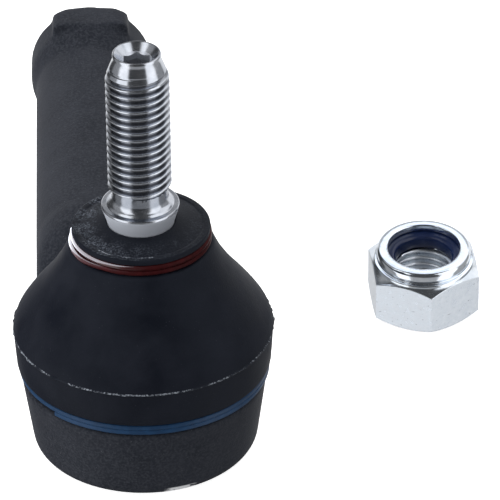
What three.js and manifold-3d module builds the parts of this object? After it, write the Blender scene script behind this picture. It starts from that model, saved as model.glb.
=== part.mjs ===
// A tie rod end with its lock nut: a forged housing with a threaded shank, and in it a ball
// stud between two bearing shells, a disc spring, a closing plate and a clamped rubber boot.
//
// Millimetres, +Z up. The origin is the centre of the closing plate's outer face. +Z runs
// along the stud, and +Y along the shank, away from the stud.

import * as THREE from "three";
import { mergeVertices } from "three/addons/utils/BufferGeometryUtils.js";
import Module from "manifold-3d";

const wasm = await Module();
wasm.setup();

// ---- Driving dimensions -------------------------------------------------------------

const GAP = 0.3; // between two pieces that touch
const OVERSHOOT = 1; // how far a cutting body reaches past the face it cuts

// Ball and the bore around it
const BALL_RADIUS = 11;
const BALL_HEIGHT = 17;
const BEARING_BORE_RADIUS = 13.6;

// Housing cup, turned seat for the boot, and mouth around the stud
const CUP_BASE_RADIUS = 17.9;
const CUP_BASE_ROUND = 2.8;
const CUP_RIM_RADIUS = 19.4;
const CUP_RIM_HEIGHT = 12.9;
const CUP_EDGE = 0.6;
const SEAT_RADIUS = 17;
const SEAT_TOP = 20.5;
const MOUTH_HEIGHT = 25.8;
const MOUTH_OUTER_RADIUS = 13;
const THROAT_RADIUS = 9.9;
const THROAT_HEIGHT = 24.6;
const BORE_TOP = 20; // where the bearing bore turns into the coned throat
const BOOT_RELIEF_RADIUS = 21.6;

// Closing plate under a rolled lip
const PLATE_RADIUS = 14.2;
const PLATE_THICKNESS = 1.4;
const PLATE_DISH_RADIUS = 9.5;
const PLATE_SLOPE = 1.8; // across the step from the dish out to the raised edge
const ROLLED_LIP = 1.3;
const LIP_OVERLAP = 0.8; // how far the lip reaches in under the plate's edge

// Shank and its wrench collar
const SHANK_OFFSET = -7.5;
const SHANK_HALF_WIDTH = 9.45;
const SHANK_HALF_HEIGHT = 8.9;
const SHANK_END = 90.4;
const COLLAR_START = 84.2;
const COLLAR_RADIUS = 10.3;
const PAD_WIDTH = 13;
const PADS_ACROSS = 21;
const SHANK_THREAD_DEPTH = 50;
const SHANK_BORE_RADIUS = 6.2; // minor diameter of M14 x 1.5
const DRILL_POINT_SLOPE = 31; // degrees

// Stud with an M10 x 1.25 thread
const NECK_RADIUS = 5.2;
const STUD_COLLAR_BOTTOM = 40.3;
const STUD_COLLAR_TOP = 43.5;
const STUD_COLLAR_RADIUS = 6.1;
const STUD_COLLAR_RIM = 0.4;
const STUD_SEAT_INNER_RADIUS = 5.1;
const WAIST_RADIUS = 4.35;
const WAIST_BOTTOM = 45.2;
const WAIST_FILLET = 1.6;
const THREAD_RADIUS = 4.95;
const THREAD_BOTTOM = 46.6;
const THREAD_TOP = 65.9;
const TIP_RADIUS = 3.75;
const TIP_CONE_TOP = 69.1;
const TIP_HEIGHT = 70.1;
const SOCKET_ACROSS_FLATS = 4;
const SOCKET_DEPTH = 6;
const COUNTERSINK_ANGLE = 90;
const COUNTERSINK_FLOOR_RADIUS = 1.9;

// Boot, its two clamp rings and their grooves
const BOOT_BOTTOM = 13.25;
const LOWER_GROOVE_RADIUS = 18.6;
const BAND_RADIUS = 20;
const BAND_BOTTOM = 15.05;
const SHOULDER_RADIUS = 20.45;
const SHOULDER_HEIGHT = 21.1;
const UPPER_GROOVE_RADIUS = 9.9;
const FLANGE_BOTTOM = 38.5;
const FLANGE_RADIUS = 10.8;
const FLANGE_TOP = 39.45;
const RING_WIDTH = 1.6;
const LOWER_RING_RADIUS = 19.75;
const UPPER_RING_RADIUS = 11;

// Lock nut, lying loose beside the rod end on the surface that both rest on
const NUT_ACROSS_FLATS = 17;
const NUT_HEIGHT = 11.2;
const NUT_HEX_HEIGHT = 8.7;
const NUT_FOOT_RADIUS = 8;
const NUT_BEAD_RADIUS = 8.2;
const NUT_BEAD_TOP = 9.1;
const NUT_CROWN_RADIUS = 7.7;
const NUT_CROWN_ROUND = 1.2;
const NUT_BORE_RADIUS = 4.4; // minor diameter of M10 x 1.25
const NUT_ENTRY_CHAMFER = 0.8;
const NUT_MOUTH_RADIUS = 5.9;
const INSERT_BORE_RADIUS = 4.5;
const INSERT_CHAMFER = 0.5;
const INSERT_POCKET_RADIUS = 6.8;
const INSERT_POCKET_BOTTOM = 7.3;
const INSERT_POCKET_TOP = 10;
const NUT_X = 46.3;
const NUT_Y = 34.3;
const NUT_TURN = THREE.MathUtils.degToRad(4.5);

// The rod end rests on the cup's rear bottom edge and on the lower wrench pad's rear edge
const REST_EDGE = CUP_BASE_RADIUS - CUP_BASE_ROUND;
const PAD_BOTTOM = BALL_HEIGHT - PADS_ACROSS / 2;
const REST_TILT = Math.atan2(PAD_BOTTOM, SHANK_END - REST_EDGE);

// Facets round a turned piece
const FACETS = 40;
const HIDDEN_FACETS = 28;

// ---- Geometry helpers ---------------------------------------------------------------

// A solid turned about Z from [radius, height] points. The points run anticlockwise, from
// the axis back to the axis, or round a closed ring.
function turned(outline, facets = FACETS) {
  const points = outline.map(([radius, height]) => new THREE.Vector2(radius, height));
  return new THREE.LatheGeometry(points, facets).rotateX(Math.PI / 2);
}

// A closed ring's outline, ending on its first point.
function closed(outline) {
  return [...outline, outline[0]];
}

// Points on a circle about [radius, height], between two angles in degrees.
function arc([centreRadius, centreHeight], size, from, to, steps) {
  return Array.from({ length: steps + 1 }, (_, step) => {
    const angle = THREE.MathUtils.degToRad(from + ((to - from) * step) / steps);
    return [centreRadius + size * Math.cos(angle), centreHeight + size * Math.sin(angle)];
  });
}

// Angle in degrees on the ball's sphere, or on a shell's, at a given radius from the axis.
function latitude(radius, sphereRadius) {
  return THREE.MathUtils.radToDeg(Math.acos(radius / sphereRadius));
}

// An upright hexagonal prism that stands on z = 0, with two corners on the X axis.
function hexPrism(acrossFlats, height) {
  const shape = new THREE.Shape();
  const cornerRadius = acrossFlats / Math.sqrt(3);
  for (let corner = 0; corner < 6; corner += 1) {
    const angle = (corner * Math.PI) / 3;
    const point = [cornerRadius * Math.cos(angle), cornerRadius * Math.sin(angle)];
    if (corner === 0) shape.moveTo(...point);
    else shape.lineTo(...point);
  }
  return new THREE.ExtrudeGeometry(shape, { depth: height, bevelEnabled: false });
}

// A body lofted along Y through superellipse sections, flat at both ends.
function lofted(sections, facets) {
  const positions = [];
  const indices = [];
  for (const { y, x, z, halfWidth, halfHeight, power } of sections) {
    for (let step = 0; step < facets; step += 1) {
      const angle = (step * 2 * Math.PI) / facets;
      const across = Math.sign(Math.cos(angle)) * Math.abs(Math.cos(angle)) ** (2 / power);
      const up = Math.sign(Math.sin(angle)) * Math.abs(Math.sin(angle)) ** (2 / power);
      positions.push(x + halfWidth * across, y, z + halfHeight * up);
    }
  }
  for (let section = 0; section < sections.length - 1; section += 1) {
    for (let step = 0; step < facets; step += 1) {
      const a = section * facets + step;
      const b = section * facets + ((step + 1) % facets);
      indices.push(a, a + facets, b, b, a + facets, b + facets);
    }
  }
  const last = (sections.length - 1) * facets;
  for (let step = 1; step < facets - 1; step += 1) {
    indices.push(0, step, step + 1);
    indices.push(last, last + step + 1, last + step);
  }
  const geometry = new THREE.BufferGeometry();
  geometry.setAttribute("position", new THREE.Float32BufferAttribute(positions, 3));
  return geometry.setIndex(indices);
}

// The manifold solid of a closed geometry.
function solidOf(geometry) {
  const bare = new THREE.BufferGeometry();
  bare.setAttribute("position", geometry.getAttribute("position"));
  bare.setIndex(geometry.getIndex());
  const merged = mergeVertices(bare);
  return new wasm.Manifold(
    new wasm.Mesh({
      numProp: 3,
      vertProperties: Float32Array.from(merged.getAttribute("position").array),
      triVerts: Uint32Array.from(merged.getIndex().array),
    }),
  );
}

// The geometry of a manifold solid.
function geometryOf(solid) {
  const mesh = solid.getMesh();
  const geometry = new THREE.BufferGeometry();
  geometry.setAttribute("position", new THREE.BufferAttribute(mesh.vertProperties, 3));
  geometry.setIndex(new THREE.BufferAttribute(mesh.triVerts, 1));
  geometry.computeVertexNormals();
  return geometry;
}

// A body turned about the shank's axis, from [radius, y] points.
function turnedOnShank(outline, facets = HIDDEN_FACETS) {
  const alongShank = outline.map(([radius, y]) => [radius, -y]).reverse();
  return turned(alongShank, facets).rotateX(Math.PI / 2).translate(SHANK_OFFSET, 0, BALL_HEIGHT);
}

function piece(name, geometry, colour, roughness, metalness) {
  const material = new THREE.MeshStandardMaterial({ color: colour, roughness, metalness });
  const mesh = new THREE.Mesh(geometry, material);
  mesh.name = name;
  return mesh;
}

// ---- Housing ------------------------------------------------------------------------

// The cup, widening upward to its rim, then the seat for the boot and the coned mouth.
function cupGeometry() {
  return turned([
    [0, 0],
    ...arc([REST_EDGE, CUP_BASE_ROUND], CUP_BASE_ROUND, -90, 0, 4),
    [CUP_RIM_RADIUS, CUP_RIM_HEIGHT - CUP_EDGE],
    [CUP_RIM_RADIUS - CUP_EDGE, CUP_RIM_HEIGHT],
    [SEAT_RADIUS, CUP_RIM_HEIGHT],
    [SEAT_RADIUS, SEAT_TOP],
    [MOUTH_OUTER_RADIUS, MOUTH_HEIGHT],
    [0, MOUTH_HEIGHT],
  ]);
}

// The forged neck that leaves the cup under the boot and rises into the offset shank.
function shankGeometry() {
  const neck = [
    { y: 0, x: -2, z: 6.5, halfWidth: 14.5, halfHeight: 5, power: 4 },
    { y: 8, x: -3, z: 6.5, halfWidth: 14, halfHeight: 5, power: 3.6 },
    { y: 16, x: -4.5, z: 8, halfWidth: 12.4, halfHeight: 6.8, power: 3 },
    { y: 22.5, x: -6.9, z: 13, halfWidth: 10.1, halfHeight: 11, power: 2.6 },
    { y: 27, x: -7.4, z: 15.9, halfWidth: 9.55, halfHeight: 9.8, power: 2.3 },
  ];
  const round = [
    [31, SHANK_HALF_WIDTH, SHANK_HALF_HEIGHT],
    [79, SHANK_HALF_WIDTH, SHANK_HALF_HEIGHT],
    [COLLAR_START, COLLAR_RADIUS, COLLAR_RADIUS],
    [SHANK_END - CUP_EDGE, COLLAR_RADIUS, COLLAR_RADIUS],
    [SHANK_END, COLLAR_RADIUS - CUP_EDGE, COLLAR_RADIUS - CUP_EDGE],
  ].map(([y, halfWidth, halfHeight]) => ({
    y,
    x: SHANK_OFFSET,
    z: BALL_HEIGHT,
    halfWidth,
    halfHeight,
    power: 2,
  }));
  return lofted([...neck, ...round], FACETS);
}

// Two flat wrench pads across the collar, with their rear corners turned off.
function padsSolid() {
  const length = SHANK_END - COLLAR_START;
  const block = new THREE.BoxGeometry(PAD_WIDTH, length, PADS_ACROSS);
  block.translate(SHANK_OFFSET, COLLAR_START + length / 2, BALL_HEIGHT);
  const cornerRadius = Math.hypot(PAD_WIDTH, PADS_ACROSS) / 2;
  const envelope = turnedOnShank([
    [0, COLLAR_START - OVERSHOOT],
    [cornerRadius, COLLAR_START - OVERSHOOT],
    [cornerRadius, COLLAR_START + length / 2],
    [PADS_ACROSS / 2 + GAP, SHANK_END],
    [0, SHANK_END],
  ]);
  return solidOf(block).intersect(solidOf(envelope));
}

// Lip opening, plate recess, bearing bore and coned throat, as one cutting body.
function cavityGeometry() {
  const recessRadius = PLATE_RADIUS + GAP;
  const recessTop = ROLLED_LIP + PLATE_THICKNESS + 2 * GAP;
  const lipRadius = PLATE_RADIUS - LIP_OVERLAP;
  const flareRadius = THROAT_RADIUS + MOUTH_HEIGHT - THROAT_HEIGHT + OVERSHOOT;
  return turned([
    [0, -OVERSHOOT],
    [lipRadius, -OVERSHOOT],
    [lipRadius, ROLLED_LIP],
    [recessRadius, ROLLED_LIP],
    [recessRadius, recessTop],
    [BEARING_BORE_RADIUS, recessTop],
    [BEARING_BORE_RADIUS, BORE_TOP],
    [THROAT_RADIUS, THROAT_HEIGHT],
    [flareRadius, MOUTH_HEIGHT + OVERSHOOT],
    [0, MOUTH_HEIGHT + OVERSHOOT],
  ]);
}

// The turned clearance that keeps the neck away from the boot.
function bootReliefGeometry() {
  return turned(
    closed([
      [SEAT_RADIUS, CUP_RIM_HEIGHT],
      [BOOT_RELIEF_RADIUS, CUP_RIM_HEIGHT],
      [BOOT_RELIEF_RADIUS, MOUTH_HEIGHT + 2 * OVERSHOOT],
      [SEAT_RADIUS, MOUTH_HEIGHT + 2 * OVERSHOOT],
    ]),
  );
}

// The threaded hole in the shank, with a drilled point and a chamfered entry.
function shankBoreGeometry() {
  const entryChamfer = 1;
  const entryRadius = SHANK_BORE_RADIUS + entryChamfer;
  const bottom = SHANK_END - SHANK_THREAD_DEPTH;
  const drillPoint = SHANK_BORE_RADIUS * Math.tan(THREE.MathUtils.degToRad(DRILL_POINT_SLOPE));
  return turnedOnShank([
    [0, bottom - drillPoint],
    [SHANK_BORE_RADIUS, bottom],
    [SHANK_BORE_RADIUS, SHANK_END - entryChamfer],
    [entryRadius, SHANK_END],
    [entryRadius, SHANK_END + OVERSHOOT],
    [0, SHANK_END + OVERSHOOT],
  ]);
}

function housingGeometry() {
  const forging = solidOf(shankGeometry()).add(padsSolid()).subtract(solidOf(bootReliefGeometry()));
  const mouthClearance = turned([
    [0, BORE_TOP],
    [SEAT_RADIUS, BORE_TOP],
    [SEAT_RADIUS, MOUTH_HEIGHT + 2 * OVERSHOOT],
    [0, MOUTH_HEIGHT + 2 * OVERSHOOT],
  ]);
  const body = forging.subtract(solidOf(mouthClearance)).add(solidOf(cupGeometry()));
  return geometryOf(
    body.subtract(solidOf(cavityGeometry())).subtract(solidOf(shankBoreGeometry())),
  );
}

// ---- Bearing stack ------------------------------------------------------------------

const SHELL_BORE_RADIUS = BALL_RADIUS + GAP;
const SHELL_RADIUS = BEARING_BORE_RADIUS - GAP;
const SHELL_INSET = 0.1; // keeps the upper shell's cone clear of the throat
const SHELL_TOP = THROAT_HEIGHT - 0.4;
const SPLIT_LATITUDE = 1;
const SHELL_FLOOR = 6;
const SHELL_FLOOR_HOLE = 6;
const SPRING_THICKNESS = 0.7;
const SPRING_INNER_RADIUS = 7;
const SPRING_OUTER_RADIUS = 13.2;

function lowerShellGeometry() {
  const split = BALL_HEIGHT - SHELL_BORE_RADIUS * Math.sin(THREE.MathUtils.degToRad(SPLIT_LATITUDE));
  const holeLatitude = latitude(SHELL_FLOOR_HOLE, SHELL_BORE_RADIUS);
  return turned(
    closed([
      [SHELL_FLOOR_HOLE, SHELL_FLOOR],
      [SHELL_RADIUS, SHELL_FLOOR],
      [SHELL_RADIUS, split],
      ...arc([0, BALL_HEIGHT], SHELL_BORE_RADIUS, -SPLIT_LATITUDE, -holeLatitude, 7),
    ]),
    HIDDEN_FACETS,
  );
}

function upperShellGeometry() {
  const split = BALL_HEIGHT + SHELL_BORE_RADIUS * Math.sin(THREE.MathUtils.degToRad(SPLIT_LATITUDE));
  const topSine = (SHELL_TOP - BALL_HEIGHT) / SHELL_BORE_RADIUS;
  const topLatitude = THREE.MathUtils.radToDeg(Math.asin(topSine));
  return turned(
    closed([
      [SHELL_RADIUS, split],
      [SHELL_RADIUS, BORE_TOP - SHELL_INSET],
      [THROAT_RADIUS - SHELL_INSET, SHELL_TOP],
      ...arc([0, BALL_HEIGHT], SHELL_BORE_RADIUS, topLatitude, SPLIT_LATITUDE, 6),
    ]),
    HIDDEN_FACETS,
  );
}

// A coned disc spring, its outer edge on the closing plate, its inner edge under the shell.
function discSpringGeometry() {
  const outerBottom = ROLLED_LIP + PLATE_THICKNESS + 2 * GAP;
  const innerTop = SHELL_FLOOR - GAP;
  return turned(
    closed([
      [SPRING_INNER_RADIUS, innerTop - SPRING_THICKNESS],
      [SPRING_OUTER_RADIUS, outerBottom],
      [SPRING_OUTER_RADIUS, outerBottom + SPRING_THICKNESS],
      [SPRING_INNER_RADIUS, innerTop],
    ]),
    HIDDEN_FACETS,
  );
}

// A stamped plate: a dish flush with the base, and a raised edge held by the rolled lip.
function closingPlateGeometry() {
  const edgeBottom = ROLLED_LIP + GAP;
  return turned([
    [0, 0],
    [PLATE_DISH_RADIUS, 0],
    [PLATE_DISH_RADIUS + PLATE_SLOPE, edgeBottom],
    [PLATE_RADIUS, edgeBottom],
    [PLATE_RADIUS, edgeBottom + PLATE_THICKNESS],
    [PLATE_DISH_RADIUS + PLATE_SLOPE / 2, edgeBottom + PLATE_THICKNESS],
    [PLATE_DISH_RADIUS - PLATE_SLOPE / 2, PLATE_THICKNESS],
    [0, PLATE_THICKNESS],
  ]);
}

// ---- Ball stud ----------------------------------------------------------------------

function ballStudGeometry() {
  const flatBottom = 7;
  const flatRadius = Math.sqrt(BALL_RADIUS ** 2 - (BALL_HEIGHT - flatBottom) ** 2);
  const socketMouthRadius = TIP_RADIUS - GAP;
  const stud = turned([
    [0, flatBottom],
    ...arc(
      [0, BALL_HEIGHT],
      BALL_RADIUS,
      -latitude(flatRadius, BALL_RADIUS),
      latitude(NECK_RADIUS, BALL_RADIUS),
      14,
    ),
    [NECK_RADIUS, STUD_COLLAR_BOTTOM],
    [STUD_COLLAR_RADIUS, STUD_COLLAR_TOP - STUD_COLLAR_RIM],
    [STUD_COLLAR_RADIUS, STUD_COLLAR_TOP],
    [STUD_SEAT_INNER_RADIUS, STUD_COLLAR_TOP],
    ...arc([WAIST_RADIUS + WAIST_FILLET, WAIST_BOTTOM], WAIST_FILLET, 230, 180, 3),
    [WAIST_RADIUS, THREAD_BOTTOM - (THREAD_RADIUS - WAIST_RADIUS)],
    [THREAD_RADIUS, THREAD_BOTTOM],
    [THREAD_RADIUS, THREAD_TOP],
    [TIP_RADIUS, TIP_CONE_TOP],
    [TIP_RADIUS, TIP_HEIGHT],
    [0, TIP_HEIGHT],
  ]);
  const socket = hexPrism(SOCKET_ACROSS_FLATS, SOCKET_DEPTH + OVERSHOOT);
  socket.rotateZ(Math.PI / 6);
  socket.translate(0, 0, TIP_HEIGHT - SOCKET_DEPTH);
  const slope = Math.tan(THREE.MathUtils.degToRad(COUNTERSINK_ANGLE / 2));
  const countersinkDepth = (socketMouthRadius - COUNTERSINK_FLOOR_RADIUS) / slope;
  const countersink = turned([
    [0, TIP_HEIGHT - countersinkDepth],
    [COUNTERSINK_FLOOR_RADIUS, TIP_HEIGHT - countersinkDepth],
    [socketMouthRadius, TIP_HEIGHT],
    [socketMouthRadius, TIP_HEIGHT + OVERSHOOT],
    [0, TIP_HEIGHT + OVERSHOOT],
  ]);
  return geometryOf(solidOf(stud).subtract(solidOf(socket)).subtract(solidOf(countersink)));
}

// ---- Boot and clamp rings -----------------------------------------------------------

// Half-widths of the bell's outside between the shoulder and the upper clamp groove.
const BELL = [
  [SHOULDER_RADIUS, SHOULDER_HEIGHT],
  [19.8, 23],
  [18.5, 25],
  [17, 27],
  [15.4, 29],
  [14.05, 31],
  [12.85, 33],
  [11.9, 35],
  [11.4, 36.2],
];
const BOOT_WALL = 1.8;

function bootGeometry() {
  const neckHole = NECK_RADIUS + GAP;
  const seatHole = SEAT_RADIUS + GAP;
  const inside = BELL.slice(1)
    .map(([radius, height]) => [radius - BOOT_WALL, height - BOOT_WALL / 2])
    .reverse();
  return turned(
    closed([
      [seatHole, BOOT_BOTTOM],
      [LOWER_GROOVE_RADIUS, BOOT_BOTTOM],
      [LOWER_GROOVE_RADIUS, BAND_BOTTOM],
      [BAND_RADIUS, BAND_BOTTOM],
      ...BELL,
      [UPPER_GROOVE_RADIUS, FLANGE_BOTTOM - RING_WIDTH - GAP],
      [UPPER_GROOVE_RADIUS, FLANGE_BOTTOM],
      [FLANGE_RADIUS, FLANGE_BOTTOM],
      [FLANGE_RADIUS, FLANGE_TOP],
      [neckHole, STUD_COLLAR_BOTTOM - GAP],
      [neckHole, BELL.at(-1)[1]],
      ...inside,
      [seatHole, SEAT_TOP - OVERSHOOT],
    ]),
  );
}

// A ring of two wire turns side by side, with rounded outer flanks.
function clampRingGeometry(innerRadius, outerRadius, bottom) {
  const turn = RING_WIDTH / 2;
  const round = turn / 4;
  const flank = (start) => [
    [outerRadius - round, start],
    [outerRadius, start + round],
    [outerRadius, start + turn - round],
    [outerRadius - round, start + turn],
  ];
  return turned(
    closed([
      [innerRadius, bottom],
      ...flank(bottom),
      ...flank(bottom + turn).slice(1),
      [innerRadius, bottom + RING_WIDTH],
    ]),
  );
}

// ---- Lock nut -----------------------------------------------------------------------

function nutBodyGeometry() {
  const cornerRadius = NUT_ACROSS_FLATS / Math.sqrt(3);
  const topRadius = NUT_ACROSS_FLATS / 2 - GAP;
  const chamferSlope = Math.tan(THREE.MathUtils.degToRad(30));
  const roundStart = NUT_HEIGHT - NUT_CROWN_ROUND;
  const envelope = turned([
    [0, 0],
    [NUT_FOOT_RADIUS, 0],
    [cornerRadius, (cornerRadius - NUT_FOOT_RADIUS) * chamferSlope],
    [cornerRadius, NUT_HEX_HEIGHT - (cornerRadius - topRadius) * chamferSlope],
    [topRadius, NUT_HEX_HEIGHT],
    [NUT_BEAD_RADIUS, NUT_HEX_HEIGHT],
    [NUT_BEAD_RADIUS, NUT_BEAD_TOP],
    [NUT_CROWN_RADIUS, NUT_BEAD_TOP],
    ...arc([NUT_CROWN_RADIUS - NUT_CROWN_ROUND, roundStart], NUT_CROWN_ROUND, 0, 90, 4),
    [0, NUT_HEIGHT],
  ]);
  const hex = solidOf(hexPrism(NUT_ACROSS_FLATS, NUT_HEIGHT + OVERSHOOT));
  const entryRadius = NUT_BORE_RADIUS + NUT_ENTRY_CHAMFER;
  const bore = turned([
    [0, -OVERSHOOT],
    [entryRadius, -OVERSHOOT],
    [entryRadius, 0],
    [NUT_BORE_RADIUS, NUT_ENTRY_CHAMFER],
    [NUT_BORE_RADIUS, INSERT_POCKET_BOTTOM],
    [INSERT_POCKET_RADIUS, INSERT_POCKET_BOTTOM],
    [INSERT_POCKET_RADIUS, INSERT_POCKET_TOP],
    [NUT_MOUTH_RADIUS, INSERT_POCKET_TOP],
    [NUT_MOUTH_RADIUS, NUT_HEIGHT + OVERSHOOT],
    [0, NUT_HEIGHT + OVERSHOOT],
  ]);
  return geometryOf(solidOf(envelope).intersect(hex).subtract(solidOf(bore)));
}

function nutInsertGeometry() {
  const outerRadius = INSERT_POCKET_RADIUS - GAP;
  const bottom = INSERT_POCKET_BOTTOM + GAP;
  const top = INSERT_POCKET_TOP - GAP;
  return turned(
    closed([
      [INSERT_BORE_RADIUS, bottom],
      [outerRadius, bottom],
      [outerRadius, top],
      [INSERT_BORE_RADIUS + INSERT_CHAMFER, top],
      [INSERT_BORE_RADIUS, top - INSERT_CHAMFER],
    ]),
    HIDDEN_FACETS,
  );
}

// The nut stands on the resting surface, with a corner of its hexagon facing -Y.
function lockNut() {
  const nut = new THREE.Group();
  nut.position.set(NUT_X, NUT_Y, (NUT_Y - REST_EDGE) * Math.tan(REST_TILT));
  nut.rotation.x = REST_TILT;
  const turn = -Math.PI / 2 + NUT_TURN;
  const body = piece("lock_nut_body", nutBodyGeometry(), 0xc9ced6, 0.28, 1);
  const insert = piece("lock_nut_insert", nutInsertGeometry(), 0x1b2550, 0.25, 0);
  body.rotation.z = turn;
  insert.rotation.z = turn;
  nut.add(body, insert);
  return nut;
}

// ---- Assembly -----------------------------------------------------------------------

const lowerRing = clampRingGeometry(LOWER_GROOVE_RADIUS + GAP, LOWER_RING_RADIUS, BOOT_BOTTOM);
const upperRingBottom = FLANGE_BOTTOM - RING_WIDTH - GAP / 2;
const upperRing = clampRingGeometry(UPPER_GROOVE_RADIUS + GAP, UPPER_RING_RADIUS, upperRingBottom);

const tieRodEnd = new THREE.Group();
tieRodEnd.add(
  piece("housing", housingGeometry(), 0x2c2f36, 0.55, 0.3),
  piece("upper_bearing_shell", upperShellGeometry(), 0xe8e4d8, 0.45, 0),
  piece("lower_bearing_shell", lowerShellGeometry(), 0xe8e4d8, 0.45, 0),
  piece("preload_disc_spring", discSpringGeometry(), 0x8c9096, 0.35, 1),
  piece("closing_plate", closingPlateGeometry(), 0x9ba0a6, 0.4, 1),
  piece("ball_stud", ballStudGeometry(), 0xc4c9d0, 0.18, 1),
  piece("dust_boot", bootGeometry(), 0x1b1d24, 0.5, 0),
  piece("lower_clamp_ring", lowerRing, 0x28557f, 0.4, 0.2),
  piece("upper_clamp_ring", upperRing, 0x5a0f10, 0.2, 0.2),
  lockNut(),
);

export default tieRodEnd;
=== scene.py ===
"""Looks of a tie rod end and its loose lock nut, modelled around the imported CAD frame.

Sizes are in millimetres in the part's own frame and turn into metres in the mesh makers. Turned
pieces are grids of rings: a ring is a radius and a height, each one number or one value per
column, so threads, hexagons and wavy rubber edges are all rings too.
"""
import math

import bpy
import numpy as np
from mathutils import Matrix, Vector


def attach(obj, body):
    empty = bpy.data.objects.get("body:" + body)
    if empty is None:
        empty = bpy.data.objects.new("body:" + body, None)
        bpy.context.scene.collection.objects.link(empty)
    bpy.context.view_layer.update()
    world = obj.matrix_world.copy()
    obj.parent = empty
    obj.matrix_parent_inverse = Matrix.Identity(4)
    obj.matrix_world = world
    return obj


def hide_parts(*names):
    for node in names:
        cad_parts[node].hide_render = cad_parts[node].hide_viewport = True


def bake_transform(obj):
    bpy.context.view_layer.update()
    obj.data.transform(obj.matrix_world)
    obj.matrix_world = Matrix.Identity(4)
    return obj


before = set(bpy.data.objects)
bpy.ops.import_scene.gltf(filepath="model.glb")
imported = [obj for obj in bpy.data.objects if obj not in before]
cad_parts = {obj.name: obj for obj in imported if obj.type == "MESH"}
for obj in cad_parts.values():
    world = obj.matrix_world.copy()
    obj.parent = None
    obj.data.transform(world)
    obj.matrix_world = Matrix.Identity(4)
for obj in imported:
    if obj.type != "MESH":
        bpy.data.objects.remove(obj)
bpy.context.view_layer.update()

MM = 0.001
TURN = 2 * math.pi

# ---- Main sizes, as in the CAD model, in millimetres and degrees ----

BALL_RADIUS = 11
BALL_HEIGHT = 17
BEARING_BORE_RADIUS = 13.6
GAP = 0.3

CUP_BASE_RADIUS = 17.9
CUP_BASE_ROUND = 2.8
CUP_RIM_RADIUS = 19.4
CUP_RIM_HEIGHT = 12.9
SEAT_RADIUS = 17
SEAT_TOP = 20.5
MOUTH_HEIGHT = 25.8
MOUTH_RADIUS = 13
THROAT_RADIUS = 9.9
THROAT_HEIGHT = 24.6
BOOT_RELIEF_RADIUS = 21.6

PLATE_RADIUS = 14.2
PLATE_THICKNESS = 1.4
DISH_RADIUS = 9.5
ROLLED_LIP = 1.3

SHANK_OFFSET = -7.5
SHANK_HALF_WIDTH = 9.45
SHANK_HALF_HEIGHT = 8.9
SHANK_END = 90.4
COLLAR_START = 84.2
COLLAR_RADIUS = 10.3
PAD_HALF_WIDTH = 6.5
PAD_HALF_HEIGHT = 10.5
SHANK_THREAD_DEPTH = 50
SHANK_THREAD = {"pitch": 1.5, "minor": 6.2, "major": 7.0}

NECK_RADIUS = 5.2
STUD_COLLAR_BOTTOM = 40.3
STUD_COLLAR_TOP = 43.5
STUD_COLLAR_RADIUS = 6.1
WAIST_RADIUS = 4.35
STUD_THREAD = {"pitch": 1.25, "minor": 4.2, "major": 4.95}
THREAD_BOTTOM = 46.6
THREAD_TOP = 65.9
TIP_RADIUS = 3.75
TIP_CONE_TOP = 69.1
TIP_HEIGHT = 70.1
TIP_SLOPE = (STUD_THREAD["major"] - TIP_RADIUS) / (TIP_CONE_TOP - THREAD_TOP)
SOCKET_ACROSS_FLATS = 4
SOCKET_DEPTH = 6
SOCKET_COUNTERSINK = 90

BOOT_BOTTOM = 13.25
LOWER_GROOVE_RADIUS = 18.6
BAND_RADIUS = 20
BAND_BOTTOM = 15.05
SHOULDER_RADIUS = 20.4
SHOULDER_HEIGHT = 21.1
UPPER_GROOVE_RADIUS = 9.9
FLANGE_BOTTOM = 38.5
FLANGE_RADIUS = 10.8
FLANGE_TOP = 39.45
LOWER_RING_RADIUS = 19.75
LOWER_RING_START = -136
UPPER_RING_RADIUS = 11
UPPER_RING_START = 60

NUT_ACROSS_FLATS = 17
NUT_HEIGHT = 11.2
NUT_HEX_HEIGHT = 8.7
NUT_FOOT_RADIUS = 8
NUT_BEAD_RADIUS = 8.2
NUT_CROWN_RADIUS = 7.7
NUT_MOUTH_RADIUS = 5.9
NUT_THREAD = {"pitch": 1.25, "minor": 4.4, "major": 5.05}
POCKET_RADIUS = 6.8
POCKET_BOTTOM = 7.3
POCKET_TOP = 10
INSERT_BORE_RADIUS = 4.5
NUT_PLACE = (46.3, 34.3)
NUT_TURN = -85.5

# The rod end tips back until its lower wrench pad touches the surface that it lies on.
REST_EDGE = CUP_BASE_RADIUS - CUP_BASE_ROUND
REST_TILT = math.atan2(BALL_HEIGHT - PAD_HALF_HEIGHT, SHANK_END - REST_EDGE)

# ---- Outlines ----


def rounded(corners, steps=5):
    """A line through (radius, height, rounding) corners, each corner replaced by a small curve."""
    points = [np.array(corner[:2], float) for corner in corners]
    line = []
    for index, corner in enumerate(corners):
        here = points[index]
        size = corner[2] if len(corner) > 2 else 0
        if size == 0 or index in (0, len(corners) - 1):
            line.append(here)
            continue
        before, after = points[index - 1] - here, points[index + 1] - here
        start = here + before * min(0.5, size / np.linalg.norm(before))
        end = here + after * min(0.5, size / np.linalg.norm(after))
        for t in np.linspace(0, 1, steps):
            line.append((1 - t) ** 2 * start + 2 * t * (1 - t) * here + t**2 * end)
    return [tuple(point) for point in line]


def arc(centre, radius, start, end, steps):
    """Points on a circle about a (radius, height) centre, between two angles in degrees."""
    angles = np.radians(np.linspace(start, end, steps))
    return [(centre[0] + radius * math.cos(a), centre[1] + radius * math.sin(a)) for a in angles]


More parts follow.
